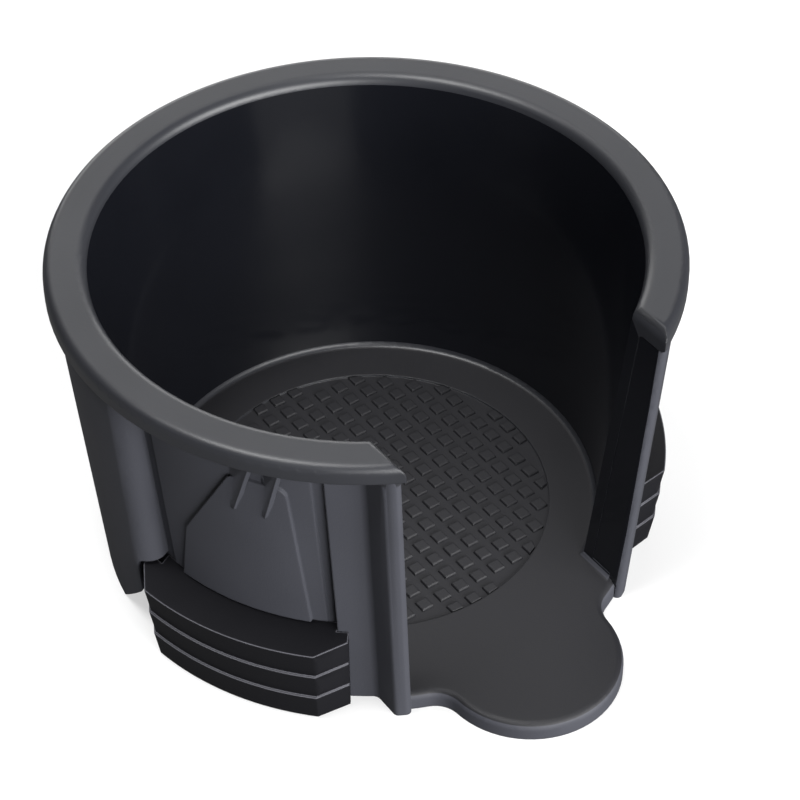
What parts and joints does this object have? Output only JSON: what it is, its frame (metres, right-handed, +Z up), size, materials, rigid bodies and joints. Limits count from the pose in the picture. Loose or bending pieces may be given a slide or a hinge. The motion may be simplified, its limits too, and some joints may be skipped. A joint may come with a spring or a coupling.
{
  "type": "car cup holder insert",
  "caption": "Slotted cup holder insert with a wide flat rim, a floor that runs out as a rounded tongue, and barbed rubber pads that grip the console well.",
  "frame": {"origin": "on the plane that the base rests on, at the axis of the cup", "axes": "+Z up along the cup's axis, the handle slot and the tongue facing -Y, +X to the right seen from the slot"},
  "size_m": [0.1, 0.1088, 0.0585],
  "materials": {
    "holder_plastic": "satin dark grey moulding, glossier inside the well",
    "grip_rubber": "matt black rubber"
  },
  "bodies": {
    "root": {"holder_body": "holder_plastic", "left_grip_pad": "grip_rubber", "right_grip_pad": "grip_rubber", "rear_grip_pad": "grip_rubber"}
  },
  "joints": []
}
